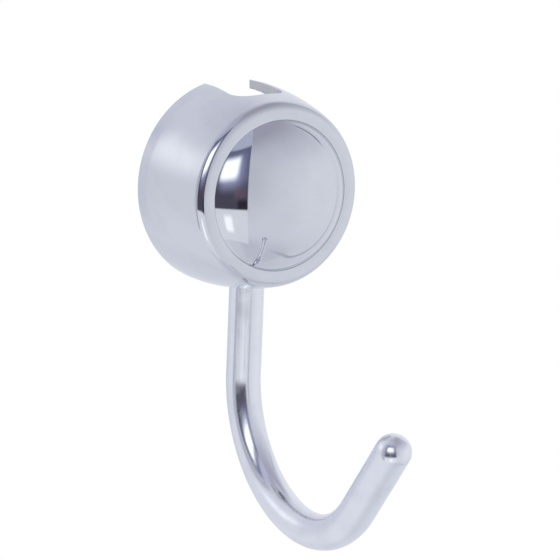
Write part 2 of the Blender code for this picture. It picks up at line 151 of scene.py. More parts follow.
world = bpy.data.worlds.new("light_tent")
bpy.context.scene.world = world
world.use_nodes = True
tent = world.node_tree
tent.nodes.clear()
direction = node(tent, "ShaderNodeSeparateXYZ",
                 _0=node(tent, "ShaderNodeTexCoord").outputs["Generated"]).outputs
forward = maths(tent, "MULTIPLY", direction["Y"], -1)
azimuth = maths(tent, "DEGREES", maths(tent, "ARCTAN2", direction["X"], forward))
elevation = maths(tent, "DEGREES", maths(tent, "ARCSINE", direction["Z"]))
cloth = node(tent, "ShaderNodeValToRGB", Fac=share(tent, elevation, -90, 90, "LINEAR"))
shades_by_height = [(-90, (0.66, 0.69, 0.76)), (-50, (0.72, 0.75, 0.83)), (-15, (0.74, 0.77, 0.84)),
                    (12, (0.74, 0.76, 0.84)), (42, (0.73, 0.75, 0.84)), (90, (0.46, 0.46, 0.55))]
stops = cloth.color_ramp.elements
while len(stops) < len(shades_by_height):
    stops.new(0.5)
for stop, (height, shade) in zip(stops, shades_by_height):
    stop.position = (height + 90) / 180
    stop.color = (*shade, 1)


def patch_mask(name, middle, half_width, height, half_height, softness):
    """How far a direction lies in a patch of the tent, from 0 to 1. A patch has the azimuth of its
    middle, from the front towards +X, and half its width, its height and half of that, and the
    softness of its edge, all in degrees."""
    return node(tent, "ShaderNodeGroup", {"node_tree": patch, "label": name}, Azimuth=azimuth,
                Elevation=elevation, Middle=middle, Half_width=half_width, Height=height,
                Half_height=half_height, Softness=softness).outputs["Mask"]


def lit(colour, patches):
    """Lays lit or dark patches over a colour, one over the other: each has the values that
    patch_mask takes, and the colour of its light."""
    for *place_and_size, light in patches:
        colour = mixed(tent, patch_mask(*place_and_size), colour, light)
    return colour


walls_colour = lit(cloth.outputs["Color"], [
    ("cloth at the right", 64, 30, -4, 30, 34, (0.80, 0.83, 0.90)),
    ("cloth above the front", 30, 62, 46, 22, 44, (0.57, 0.59, 0.68)),
    ("cloth beside the opening", -12, 20, 14, 26, 40, (0.60, 0.62, 0.70)),
    ("ceiling", 25, 104, 74, 25, 36, (0.41, 0.41, 0.50)),
    ("lower left", -120, 42, -48, 26, 26, (0.78, 0.81, 0.89)),
    ("lower front", 10, 42, -66, 18, 20, (0.63, 0.65, 0.74)),
    ("dim back", -172, 22, 5, 24, 20, (0.64, 0.66, 0.77)),
    ("right side", 128, 22, 5, 38, 24, (0.82, 0.84, 0.91)),
    ("lamp behind the left cloth", -134, 17, 22, 10, 18, (1.00, 1.03, 1.10)),
    ("dim gap", -99, 7, 12, 46, 9, (0.43, 0.44, 0.53))])

# The hem of the cloth: a thin line that comes down at the right, turns round to the front and
# fades out there. It follows a rectangle of azimuths and elevations with round corners.
hem_left, hem_right = -60, 92
hem_bottom, hem_top = -56, 150
hem_corner = 30
hem_half_width = 1.6
hem_softness = 2
hem_full_azimuth, hem_end_azimuth = 75, 14
hem_full_elevation, hem_end_elevation = -45, 5
hem_shade = (0.62, 0.62, 0.64)
hem_middle = ((hem_left + hem_right) / 2, (hem_bottom + hem_top) / 2, 0)
hem_reach = ((hem_right - hem_left) / 2 - hem_corner, (hem_top - hem_bottom) / 2 - hem_corner, 0)
angles = node(tent, "ShaderNodeCombineXYZ", X=azimuth, Y=elevation).outputs[0]
for operation, operand in (("SUBTRACT", hem_middle), ("ABSOLUTE", (0, 0, 0)),
                           ("SUBTRACT", hem_reach), ("MAXIMUM", (0, 0, 0))):
    angles = vectors(tent, operation, angles, operand)
from_corner = vectors(tent, "LENGTH", angles)
from_hem = maths(tent, "ABSOLUTE", maths(tent, "SUBTRACT", from_corner, hem_corner))
hem = share(tent, from_hem, hem_half_width + hem_softness / 2, hem_half_width - hem_softness / 2)
low = share(tent, elevation, hem_end_elevation, hem_full_elevation, "LINEAR")
rightward = share(tent, azimuth, hem_end_azimuth, hem_full_azimuth, "LINEAR")
hem = maths(tent, "MULTIPLY", hem, maths(tent, "MULTIPLY", low, rightward))
walls_colour = mixed(tent, hem, walls_colour, hem_shade, "MULTIPLY")

# A dark crease in the cloth, higher up at the right, with sharp sides and faded ends.
crease_azimuth = 86
crease_elevation = 33
crease_shade = (0.16, 0.17, 0.20)
crease = maths(tent, "MULTIPLY",
               patch_mask("crease", crease_azimuth, half_width=1.4, height=crease_elevation,
                          half_height=40, softness=2.4),
               patch_mask("ends of the crease", crease_azimuth, half_width=30,
                          height=crease_elevation, half_height=13, softness=11))
walls_colour = mixed(tent, crease, walls_colour, crease_shade)

# The room, which the opening shows.
room_shade = (0.148, 0.153, 0.262)
room_colour = lit(room_shade, [
    ("ceiling of the room", -56, 90, 73, 20, 5, (0.50, 0.52, 0.67)),
    ("lower half of the room", -56, 90, -10, 18, 16, (0.078, 0.077, 0.11)),
    ("warm shape", -26, 9, -1, 5, 8, (0.135, 0.10, 0.14)),
    ("dark shape", -21, 8, -13, 6, 7, (0.032, 0.026, 0.038)),
    ("glow round the window", -47, 20, 25, 15, 26, (0.46, 0.48, 0.70)),
    ("window", -53, 20, 28.5, 12, 12, (1.5, 1.55, 1.6)),
    ("table below", -56, 90, -55, 38.6, 2.2, (0.82, 0.85, 0.92)),
    ("lit stand", -49, 8.5, -33, 9, 8, (1.25, 1.27, 1.34))])
opening = patch_mask("opening", middle=-51.5, half_width=36.3, height=20, half_height=74,
                     softness=1.4)
tent_colour = mixed(tent, opening, walls_colour, room_colour)
white = node(tent, "ShaderNodeBackground", Color=(1, 1, 1), Strength=1.0)
walls = node(tent, "ShaderNodeBackground", Color=tent_colour, Strength=1.0)


def shown(tree, output, to_camera, to_others):
    """Puts out one shader for the camera and another for the mirrored and the scattered light."""
    camera_sees = node(tree, "ShaderNodeLightPath").outputs["Is Camera Ray"]
    mix = node(tree, "ShaderNodeMixShader", _0=camera_sees, _1=to_others.outputs[0],
               _2=to_camera.outputs[0])
    node(tree, output, Surface=mix.outputs[0])


shown(tent, "ShaderNodeOutputWorld", to_camera=white, to_others=walls)

floor_drop = 900 * mm
floor_size = 30000 * mm
paper_white = (0.9, 0.9, 0.9)
bpy.ops.mesh.primitive_plane_add(size=floor_size, location=(0, 0, -floor_drop))
floor = bpy.context.object
floor.name = "floor"
floor.visible_glossy = False
paper = bpy.data.materials.new("white_paper")
paper.use_nodes = True
tree = paper.node_tree
tree.nodes.clear()
matt = node(tree, "ShaderNodeBsdfDiffuse", Color=paper_white)
bright = node(tree, "ShaderNodeEmission", Color=(1, 1, 1), Strength=1.0)
shown(tree, "ShaderNodeOutputMaterial", to_camera=bright, to_others=matt)
floor.data.materials.append(paper)


# Wall plate: a disc pressed from 2 mm steel and zinc plated, screwed to the wall through its two
# slots. It centres the cover, and a lug folded up from it takes the cover's set screw.
same_spot = 0.001 * mm


def softened(node_name, name, body, width):
    """A copy of a plain solid with its round faces smooth and its edges eased by a small round."""
    same_plane = math.radians(0.5)
    sharp_edge = math.radians(40)
    bm = bmesh.new()
    bm.from_mesh(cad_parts[node_name].data)
    bmesh.ops.remove_doubles(bm, verts=bm.verts, dist=same_spot)
    bmesh.ops.dissolve_limit(bm, angle_limit=same_plane, verts=bm.verts, edges=bm.edges)
    mesh = bpy.data.meshes.new(name)
    bm.to_mesh(mesh)
    bm.free()
    mesh.shade_smooth()
    mesh.set_sharp_from_angle(angle=sharp_edge)
    piece = placed(name, mesh)
    edges = piece.modifiers.new("eased_edges", "BEVEL")
    edges.width = width
    edges.segments = 3
    edges.limit_method = "ANGLE"
    edges.angle_limit = sharp_edge
    edges.harden_normals = True
    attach(piece, body)
    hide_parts(node_name)
    return piece


def metal(name, colour, roughness):
    """A bare metal or plate: its material, tree and shader."""
    made = bpy.data.materials.new(name)
    made.use_nodes = True
    shader = made.node_tree.nodes["Principled BSDF"]
    shader.inputs["Base Color"].default_value = (*colour, 1)
    shader.inputs["Metallic"].default_value = 1
    shader.inputs["Roughness"].default_value = roughness
    return made, made.node_tree, shader


def between(tree, mask, low, high):
    """A value that runs from low to high as a mask goes from 0 to 1."""
    return node(tree, "ShaderNodeMapRange", Value=mask, To_Min=low, To_Max=high).outputs[0]


def in_relief(tree, shader, *layers):
    """Lays heights on a shader's normal, one over the other: (height, distance in metres)."""
    lower = {}
    for height, distance in layers:
        bump = node(tree, "ShaderNodeBump", Height=height, Distance=distance, **lower)
        lower = {"Normal": bump.outputs["Normal"]}
    tree.links.new(lower["Normal"], shader.inputs["Normal"])


# Bright zinc plate: a cloudy blue white with faint straw-coloured clouds, over fine rolling lines
# that run level across the sheet.
zinc_blue = (0.60, 0.63, 0.67)
zinc_straw = (0.64, 0.61, 0.53)
plate_edge_round = 0.18 * mm
spangle_height = 0.002 * mm
rolling_height = 0.012 * mm
zinc_plate, tree, shader = metal("zinc_plate", zinc_blue, roughness=0.36)
spot = node(tree, "ShaderNodeTexCoord").outputs["Object"]
clouds = node(tree, "ShaderNodeTexNoise", Vector=spot, Scale=110, Detail=3, Roughness=0.6)
spangle = node(tree, "ShaderNodeTexVoronoi", Vector=spot, Scale=420)
rolling = node(tree, "ShaderNodeTexNoise", Scale=1, Detail=2, Vector=node(
    tree, "ShaderNodeMapping", Vector=spot, Scale=(60, 3500, 3500)).outputs[0])
cloudy = share(tree, clouds.outputs["Fac"], 0.44, 0.66)
grey = node(tree, "ShaderNodeSeparateColor", Color=spangle.outputs["Color"]).outputs[0]
tree.links.new(mixed(tree, cloudy, zinc_blue, zinc_straw), shader.inputs["Base Color"])
dull = maths(tree, "ADD", between(tree, grey, 0.0, 0.1), between(tree, cloudy, 0.26, 0.42))
tree.links.new(dull, shader.inputs["Roughness"])
in_relief(tree, shader, (grey, spangle_height), (rolling.outputs["Fac"], rolling_height))
wall_plate = softened("wall_plate", "wall_plate_visual", "bracket",
                      plate_edge_round)
wall_plate.data.materials.append(zinc_plate)


# Block: a zinc die casting on the plate, with a leaning bore for the bar and threaded holes. It is
# left as it comes from the mould, matt and a little grainy, and the cover hides it.
cast_grain, given, result = node_group(
    "cast_grain", [("Grain size", FLOAT, 0.5 * mm)], [("Specks", FLOAT), ("Skin", FLOAT)])
spot = node(cast_grain, "ShaderNodeTexCoord").outputs["Object"]
fineness = maths(cast_grain, "DIVIDE", 1.0, given.outputs["Grain size"])
grain = node(cast_grain, "ShaderNodeTexNoise", Vector=spot, Scale=fineness, Detail=4)
pits = node(cast_grain, "ShaderNodeTexVoronoi", Vector=spot, Scale=fineness)
specks = share(cast_grain, grain.outputs["Fac"], 0.42, 0.62)
skin = maths(cast_grain, "MULTIPLY", specks, pits.outputs["Distance"])
cast_grain.links.new(specks, result.inputs["Specks"])
cast_grain.links.new(skin, result.inputs["Skin"])


def left_as_cast(name, grey, dark, light, dull, bright, roughness, grain_size, skin_height):
    """A grainy metal, darker and duller in the hollows of its grain."""
    made, tree, shader = metal(name, grey, roughness)
    grain = node(tree, "ShaderNodeGroup", {"node_tree": cast_grain}, Grain_size=grain_size).outputs
    tree.links.new(mixed(tree, grain["Specks"], dark, light), shader.inputs["Base Color"])
    tree.links.new(between(tree, grain["Specks"], dull, bright), shader.inputs["Roughness"])
    in_relief(tree, shader, (grain["Skin"], skin_height))
    return made


block_edge_round = 0.25 * mm
cast_zinc = left_as_cast(
    "cast_zinc", grey=(0.45, 0.46, 0.48), dark=(0.40, 0.41, 0.43), light=(0.50, 0.51, 0.53),
    dull=0.58, bright=0.42, roughness=0.5, grain_size=0.45 * mm, skin_height=0.02 * mm)
block = softened("rod_block", "block", "bracket", block_edge_round)
block.data.materials.append(cast_zinc)


# Block screws: two countersunk stainless screws from the back of the plate into the block, turned,
# with a rolled thread and a pressed hexagon socket in the head.
turned_marks, given, result = node_group(
    "turned_marks", [("Point", VECTOR, (0, 0, 0)), ("Axis", VECTOR, (0, 0, 1)),
                     ("Line width", FLOAT, 0.1 * mm)], [("Lines", FLOAT), ("Stains", FLOAT)])
spot = node(turned_marks, "ShaderNodeTexCoord").outputs["Object"]
arm = vectors(turned_marks, "SUBTRACT", spot, given.outputs["Point"])
height = vectors(turned_marks, "DOT_PRODUCT", arm, given.outputs["Axis"])
reach = vectors(turned_marks, "CROSS_PRODUCT", arm, given.outputs["Axis"])
reach = vectors(turned_marks, "LENGTH", reach)
line = maths(turned_marks, "DIVIDE", maths(turned_marks, "ADD", height, reach),
             given.outputs["Line width"])
lines = node(turned_marks, "ShaderNodeTexNoise", {"noise_dimensions": "1D"}, W=line, Scale=1,
             Detail=2)
stains = node(turned_marks, "ShaderNodeTexNoise", Vector=spot, Scale=900, Detail=3)
turned_marks.links.new(lines.outputs["Fac"], result.inputs["Lines"])
turned_marks.links.new(stains.outputs["Fac"], result.inputs["Stains"])


def turned_steel(name, point, axis):
    """Stainless steel with fine turning lines round a screw's own axis."""
    steel_grey = (0.52, 0.52, 0.51)
    steel_dark = (0.44, 0.44, 0.43)
    steel_light = (0.60, 0.60, 0.60)
    line_width = 0.09 * mm
    line_height = 0.008 * mm
    made, tree, shader = metal(name, steel_grey, roughness=0.28)
    marks = node(tree, "ShaderNodeGroup", {"node_tree": turned_marks}, Point=point, Axis=axis,
                 Line_width=line_width).outputs
    tree.links.new(mixed(tree, marks["Stains"], steel_dark, steel_light), shader.inputs["Base Color"])
    tree.links.new(between(tree, marks["Lines"], 0.18, 0.42), shader.inputs["Roughness"])
    in_relief(tree, shader, (marks["Lines"], line_height))
    return made


def threads(radius, low, high, pitch, depth):
    """The side of a thread from one height to another, as crests and roots."""
    root_start, root_end, crest_start = 0.45, 0.55, 0.95
    count = round((high - low) / pitch)
    step = (high - low) / count
    made = [(radius, low, False)]
    for k in range(count):
        made += [(radius - depth, low + step * (k + root_start), False),
                 (radius - depth, low + step * (k + root_end), False),
                 (radius, low + step * (k + crest_start), False),
                 (radius, low + step * (k + 1), False)]
    return made


def screw(name, node_name, outline, place, body):
    """A screw from (radius, height, whether hexagonal), upwards to its socket's bottom."""
    around = 48
    sharp_edge = math.radians(25)
    bm = bmesh.new()
    rings = []
    for radius, height, hexagonal in outline:
        if radius == 0:
            rings.append([bm.verts.new((0, 0, height))] * around)
            continue
        ring = []
        for k in range(around):
            a = math.tau * k / around
            r = radius / math.cos(a % (math.pi / 3) - math.pi / 6) if hexagonal else radius
            ring.append(bm.verts.new((r * math.cos(a), r * math.sin(a), height)))
        rings.append(ring)
    for lower, upper in zip(rings, rings[1:]):
        for k in range(around):
            n = (k + 1) % around
            corners = [lower[k], lower[n], upper[n], upper[k]]
            bm.faces.new(list(dict.fromkeys(corners)))
    bm.transform(place)
    mesh = bpy.data.meshes.new(name)
    bm.to_mesh(mesh)
    bm.free()
    mesh.shade_smooth()
    mesh.set_sharp_from_angle(angle=sharp_edge)
    piece = placed(name, mesh)
    point, axis = place.translation, place.to_3x3() @ Vector((0, 0, 1))
    mesh.materials.append(turned_steel("turned_steel_" + name, point, axis))
    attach(piece, body)
    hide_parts(node_name)


def socket(apothem, top, depth):
    """The hexagon socket of a screw: its eased mouth, its sides and its drilled bottom."""
    lead = 0.12 * mm
    drill_radius = apothem * 0.85
    drill_point = apothem * 0.3
    return [(apothem + lead, top, True), (apothem, top - lead, True), (apothem, top - depth, True),
            (drill_radius, top - depth, False), (0, top - depth - drill_point, False)]


facing_wall = Matrix.Rotation(-math.pi / 2, 4, "X")
block_screw_right = 7.2 * mm
block_screw_up = 6 * mm
block_screw_recess = 0.1 * mm
shank_radius = 1.5 * mm
shank_chamfer = 0.4 * mm
thread_end = 7.2 * mm
head_radius = 2.75 * mm
head_top = 9 * mm
head_cone = head_radius - shank_radius
head_band = 0.12 * mm
head_edge = 0.05 * mm
outline = [(0, 0, False), (shank_radius - shank_chamfer, 0, False)]
outline += threads(shank_radius, shank_chamfer, thread_end, pitch=0.5 * mm, depth=0.27 * mm)
outline += [(shank_radius, head_top - head_cone, False), (head_radius, head_top - head_band, False),
            (head_radius, head_top - head_edge, False), (head_radius - head_edge, head_top, False)]
outline += socket(apothem=0.9 * mm, top=head_top, depth=0.85 * mm)
for where, side in (("upper", 1), ("lower", -1)):
    foot = Matrix.Translation((side * block_screw_right, -block_screw_recess - head_top,
                               side * block_screw_up))
    screw("block_screw_%s_visual" % where, "block_screw_" + where, outline, foot @ facing_wall,
          "bracket")


# Bar: 8 mm round bar, bent twice in one plane, with a turned half-round tip, polished and
# chromed. Its shank leans back to the wall by a few degrees in the bracket's block.
def mesh_piece(name, points, normals, faces, body):
    """A smooth piece whose shading follows the normals that were worked out for it."""
    mesh = bpy.data.meshes.new(name)
    mesh.from_pydata(points, [], faces)
    mesh.shade_smooth()
    mesh.update()
    mesh.normals_split_custom_set_from_vertices([tuple(n) for n in normals])
    piece = placed(name, mesh)
    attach(piece, body)
    return piece


polish_marks, given, result = node_group(
    "polish_marks", [("Smudge size", FLOAT, 5 * mm), ("Wave size", FLOAT, 9 * mm),
                     ("Hairline scale", VECTOR, (2000, 2000, 60))],
    [("Smudges", FLOAT), ("Hairlines", FLOAT), ("Waves", FLOAT)])
spot = node(polish_marks, "ShaderNodeTexCoord").outputs["Object"]
smudges = node(polish_marks, "ShaderNodeTexNoise", Vector=spot, Detail=4, Roughness=0.6,
               Scale=maths(polish_marks, "DIVIDE", 1.0, given.outputs["Smudge size"]))
waves = node(polish_marks, "ShaderNodeTexNoise", Vector=spot, Detail=1,
             Scale=maths(polish_marks, "DIVIDE", 1.0, given.outputs["Wave size"]))
stretched = vectors(polish_marks, "MULTIPLY", spot, given.outputs["Hairline scale"])
hairlines = node(polish_marks, "ShaderNodeTexNoise", Vector=stretched, Scale=1, Detail=2)
for noise, low, high, name in ((smudges, 0.42, 0.72, "Smudges"), (hairlines, 0.55, 0.75, "Hairlines")):
    mask = share(polish_marks, noise.outputs["Fac"], low, high)
    polish_marks.links.new(mask, result.inputs[name])
polish_marks.links.new(waves.outputs["Fac"], result.inputs["Waves"])


def polished_chrome(name, colour, roughness, hairline_scale, wave_size, wave_height):
    """Bright chrome plate: faint smudges and hairlines from polishing, and a slow soft waviness."""
    smudge_size = 6 * mm
    smudge_colour = [part * 0.96 for part in colour]
    smudge_roughness = roughness * 1.6
    hairline_roughness = roughness * 0.5
    hairline_height = 0.0004 * mm
    made, tree, shader = metal(name, colour, roughness)
    marks = node(tree, "ShaderNodeGroup", {"node_tree": polish_marks}, Smudge_size=smudge_size,
                 Wave_size=wave_size, Hairline_scale=hairline_scale).outputs
    tree.links.new(mixed(tree, marks["Smudges"], colour, smudge_colour), shader.inputs["Base Color"])
    dull = maths(tree, "ADD", between(tree, marks["Smudges"], roughness, smudge_roughness),
                 between(tree, marks["Hairlines"], 0.0, hairline_roughness))
    tree.links.new(dull, shader.inputs["Roughness"])
    in_relief(tree, shader, (marks["Hairlines"], hairline_height), (marks["Waves"], wave_height))
    return made


chrome_colour = (0.74, 0.75, 0.78)
# The bar's chrome colour is brighter than the cover's chrome: painted light, so that the bar looks
# more brightly lit.
bar_colour_painted_bright = (0.87, 0.88, 0.91)
bar_chrome_painted_bright = polished_chrome("bar_chrome_painted_bright", bar_colour_painted_bright, roughness=0.17,
                             hairline_scale=(1800, 1800, 70), wave_size=7 * mm,
                             wave_height=0.02 * mm)
bar_radius = 4 * mm
bar_depth = 10.2 * mm
bar_lean = math.radians(4.3)
bar_top = 8 * mm
bar_end_rounding = 0.5 * mm
bar_straight_below = 43.7 * mm
bends = [(28 * mm, math.radians(74.6)), (25.4 * mm, math.radians(71.0))]
arm_length = 20.8 * mm
flat_side = 3.2 * mm
flat_end = -7 * mm
flat_step = 0.1 * mm
shank_rings = (-10 * mm, -20 * mm, -30 * mm)
bar_sides = 72
end_steps = 4
bend_steps = 40
tip_steps = 14

# The bar in stations from its top to its tip: a middle, the bar's heading, how far the normal is
# rolled from across to along the bar, and the radius of the round that it belongs to.
stations = []
for k in range(end_steps + 1):
    a = math.pi / 2 * (1 - k / end_steps)
    stations.append((Vector((0, 0, bar_top - bar_end_rounding)), 0.0, -a, bar_end_rounding))
stations.append((Vector((0, 0, flat_end)), 0.0, 0.0, bar_radius))
flat_stations = len(stations)
for z in (flat_end - flat_step, *shank_rings, -bar_straight_below):
    stations.append((Vector((0, 0, z)), 0.0, 0.0, bar_radius))
centre, heading = Vector((0, 0, -bar_straight_below)), 0.0
for radius, angle in bends:
    pivot = centre + Vector((0, -math.cos(heading), math.sin(heading))) * radius
    for k in range(1, bend_steps + 1):
        a = heading + angle * k / bend_steps
        spot = pivot - Vector((0, -math.cos(a), math.sin(a))) * radius
        stations.append((spot, a, 0.0, bar_radius))
    centre, heading = spot, heading + angle
along = Vector((0, -math.sin(heading), -math.cos(heading)))
for part in (0.5, 1):
    stations.append((centre + along * arm_length * part, heading, 0.0, bar_radius))
for k in range(1, tip_steps):
    roll = math.pi / 2 * k / tip_steps
    stations.append((centre + along * arm_length, heading, roll, bar_radius))
tip = centre + along * (arm_length + bar_radius)

bar_frame = Matrix.Translation((0, -bar_depth, 0)) @ Matrix.Rotation(bar_lean, 4, "X")
points, normals, faces = [], [], []
for number, (centre, heading, roll, rounding) in enumerate(stations):
    along = Vector((0, -math.sin(heading), -math.cos(heading)))
    across = Vector((0, -math.cos(heading), math.sin(heading)))
    core = bar_radius - rounding
    for k in range(bar_sides):
        a = math.tau * k / bar_sides
        side = Vector((1, 0, 0)) * math.cos(a) + across * math.sin(a)
        normal = side * math.cos(roll) + along * math.sin(roll)
        spot = centre + side * core + normal * rounding
        if number < flat_stations and spot.y < -flat_side:
            spot.y = -flat_side
            normal = Vector((0, -1, 0))
        points.append(bar_frame @ spot)
        normals.append(bar_frame.to_3x3() @ normal)
for s in range(len(stations) - 1):
    for k in range(bar_sides):
        n = (k + 1) % bar_sides
        first, second = s * bar_sides, (s + 1) * bar_sides
        faces.append((first + k, first + n, second + n, second + k))
faces.append(tuple(range(bar_sides - 1, -1, -1)))
last = (len(stations) - 1) * bar_sides
faces += [(last + k, last + (k + 1) % bar_sides, len(points)) for k in range(bar_sides)]
points.append(bar_frame @ tip)
normals.append(bar_frame.to_3x3() @ along)
bar = mesh_piece("bar", points, normals, faces, "bracket")
bar.data.materials.append(bar_chrome_painted_bright)
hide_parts("hook_rod")


# Grub screws: two M5 socket screws in the front of the block, which bear on a flat filed on the
# bar and hold it at its height.
def headless(radius, length, tip_chamfer, end_chamfer, thread_start, pitch, thread_depth,
             socket_apothem, socket_depth):
    """The outline of a screw without a head, from its tip at 0 to its socket."""
    made = [(0, 0, False), (radius - tip_chamfer, 0, False)]
    made += threads(radius, thread_start, length - end_chamfer, pitch, thread_depth)
    made += [(radius - end_chamfer, length, False)]
    return made + socket(socket_apothem, length, socket_depth)


grub_height = 3.5 * mm
grub_tip = 3.5 * mm
outline = headless(radius=2.5 * mm, length=4 * mm, tip_chamfer=0.6 * mm, end_chamfer=0.3 * mm,
                   thread_start=0.5 * mm, pitch=0.8 * mm, thread_depth=0.42 * mm,
                   socket_apothem=1.25 * mm, socket_depth=1.8 * mm)
for where, height in (("upper", grub_height), ("lower", -grub_height)):
    place = Matrix.Translation((0, -grub_tip, height)) @ Matrix.Rotation(math.pi / 2, 4, "X")
    screw("grub_screw_%s_visual" % where, "rod_grub_screw_" + where, outline, bar_frame @ place,
          "bracket")


# Cover: cast in one piece, open at the back, with a straight band at the rim, a curved skirt and
# two notches, then polished and chromed. It slides over the bracket and its set screw holds it.
rim_radius = 23.5 * mm
band_depth = 4.6 * mm
front_depth = 21.0 * mm
front_radius = 20.84 * mm
start_slope = math.radians(2.5)
front_fillet = 0.06 * mm
wall = 2.0 * mm
inner_front_depth = 19.6 * mm
opening_radius = 17.7 * mm
edge_rounding = 0.22 * mm
notch_rim_half = 5.75 * mm
notch_half = 6.4 * mm
notch_flat_half = 1.5 * mm
notch_depth = 16.5 * mm
notch_lip = 0.3 * mm

taper_run = front_depth - band_depth
taper_fall = rim_radius - front_radius
half_turn = math.atan2(taper_fall, taper_run) - start_slope
taper_radius = math.hypot(taper_run, taper_fall) / (2 * math.sin(half_turn))


def skirt(depth):
    """The skirt's outer radius and its slope at a depth from the wall."""
    if depth <= band_depth:
        return rim_radius, 0.0
    slope = math.asin((depth - band_depth) / taper_radius + math.sin(start_slope))
    radius = rim_radius - taper_radius * (math.cos(start_slope) - math.cos(slope))
    return radius, slope


inner_front_radius = skirt(inner_front_depth)[0] - wall
inner_slope = math.atan2(rim_radius - wall - inner_front_radius, inner_front_depth - band_depth)


def lining(depth):
    """The cover's inner radius and its slope."""
    if depth <= band_depth:
        return rim_radius - wall, 0.0
    return rim_radius - wall - (depth - band_depth) * math.tan(inner_slope), inner_slope


def turned_to(angle, radius, depth, normal):
    """A point of an outline and its normal, turned to an angle clockwise from the top."""
    sine, cosine = math.sin(angle), math.cos(angle)
    return (Vector((radius * sine, -depth, radius * cosine)),
            Vector((normal[0] * sine, -normal[1], normal[0] * cosine)))


def on_face(profile, angle, depth):
    """Point and normal on the skirt or on the lining, at an angle clockwise from the top."""
    side = 1 if profile is skirt else -1
    radius, slope = profile(depth)
    return turned_to(angle, radius, depth, (side * math.cos(slope), side * math.sin(slope)))


def rounded(corners, steps=6):
    """Rounds the corners (radius, depth, fillet) of an outline: a list of (radius, depth, normal)."""
    nearly_straight = 1e-6
    spots = [Vector(corner[:2]) for corner in corners]
    ways = [(end - start).normalized() for start, end in zip(spots, spots[1:])]
    points = []
    for (r, d, fillet), here, before, after in zip(corners, spots, ways[:1] + ways, ways + ways[-1:]):
        first = Vector((before.y, -before.x))
        turned_by = math.atan2(before.x * after.y - before.y * after.x, before.dot(after))
        if abs(turned_by) < nearly_straight:
            points.append((r, d, first))
            continue
        sign = 1 if turned_by > 0 else -1
        reach = fillet * math.tan(abs(turned_by) / 2)
        centre = here - before * reach - first * fillet * sign
        for k in range(steps + 1):
            t = turned_by * k / steps
            normal = Vector((first.x * math.cos(t) - first.y * math.sin(t),
                             first.x * math.sin(t) + first.y * math.cos(t)))
            spot = centre + normal * fillet * sign
            points.append((spot.x, spot.y, normal))
    return points


def notch_outline(side_steps=10, arc_steps=14, lip_steps=4):
    """One notch from its +X rim corner to its -X one: (x, depth, wall normal in x and depth)."""
    corner = notch_half - notch_flat_half
    bottom = notch_depth - corner
    lean = math.atan2(notch_half - notch_rim_half, bottom - rim_depth)
    half = []
    for k in range(lip_steps + 1):
        t = (math.pi / 2 + lean) * k / lip_steps
        half.append((notch_rim_half + notch_lip * (1 - math.sin(t)),
                     rim_depth + notch_lip * (1 - math.cos(t)), -math.sin(t), -math.cos(t)))
    x0, d0 = half[-1][:2]
    for k in range(1, side_steps):
        t = k / side_steps
        half.append((x0 + (notch_half - x0) * t, d0 + (bottom - d0) * t,
                     -math.cos(lean), math.sin(lean)))
    for k in range(arc_steps + 1):
        t = math.pi / 2 * k / arc_steps
        half.append((notch_flat_half + corner * math.cos(t), bottom + corner * math.sin(t),
                     -math.cos(t), -math.sin(t)))
    other = [(-x, d, -wx, wd) for x, d, wx, wd in reversed(half)]
    return half + [(0, notch_depth, 0, -1)] + other


# The back edge of the cover, once round: the right rim, the lower notch, the left rim and the
# upper notch. Each point holds its outer and inner place and the direction its cut face looks.
rim_steps = 80
notch = notch_outline()
lip_angle = math.asin((notch_rim_half + notch_lip) / rim_radius)
lip_angle_inside = math.asin((notch_rim_half + notch_lip) / (rim_radius - wall))
back_edge = []
for half in range(2):
    for k in range(1, rim_steps):
        t = k / rim_steps
        outside = lip_angle + (math.pi - 2 * lip_angle) * t + half * math.pi
        inside = lip_angle_inside + (math.pi - 2 * lip_angle_inside) * t + half * math.pi
        back_edge.append((outside, inside, rim_depth, Vector((0, 1, 0))))
    for x, depth, wall_x, wall_depth in notch:
        outside = math.pi - math.asin(x / skirt(depth)[0]) + half * math.pi
        inside = math.pi - math.asin(x / lining(depth)[0]) + half * math.pi
        flip = 1 - 2 * half
        back_edge.append((outside, inside, depth, Vector((wall_x * flip, -wall_depth, 0))))

skirt_rows = 22
lining_rows = 11
edge_rows = 4
front_run = 2 * mm
front_start = front_depth - front_run
lining_start = inner_front_depth - front_run
opening_fillet = 0.15 * mm
inner_front_fillet = 0.3 * mm
front_outline = rounded([(skirt(front_start)[0], front_start, 0),
                         (front_radius, front_depth, front_fillet),
                         (opening_radius, front_depth, opening_fillet),
                         (opening_radius, inner_front_depth, opening_fillet),
                         (inner_front_radius, inner_front_depth, inner_front_fillet),
                         (lining(lining_start)[0], lining_start, 0)])


def edge_round(profile, angle, depth, cut_normal):
    """The small round from a cut face to the skirt or the lining: its points and normals, and the
    angle and the depth at which it ends."""
    point, normal = on_face(profile, angle, depth)
    centre = point - (normal + cut_normal) * (edge_rounding / (1 + normal.dot(cut_normal)))
    facings = [cut_normal.slerp(normal, k / edge_rows) for k in range(edge_rows + 1)]
    made = [(centre + facing * edge_rounding, facing) for facing in facings]
    spot = made[-1][0]
    end_angle = angle + (math.atan2(spot.x, spot.z) - angle + math.pi) % math.tau - math.pi
    return made, end_angle, -spot.y


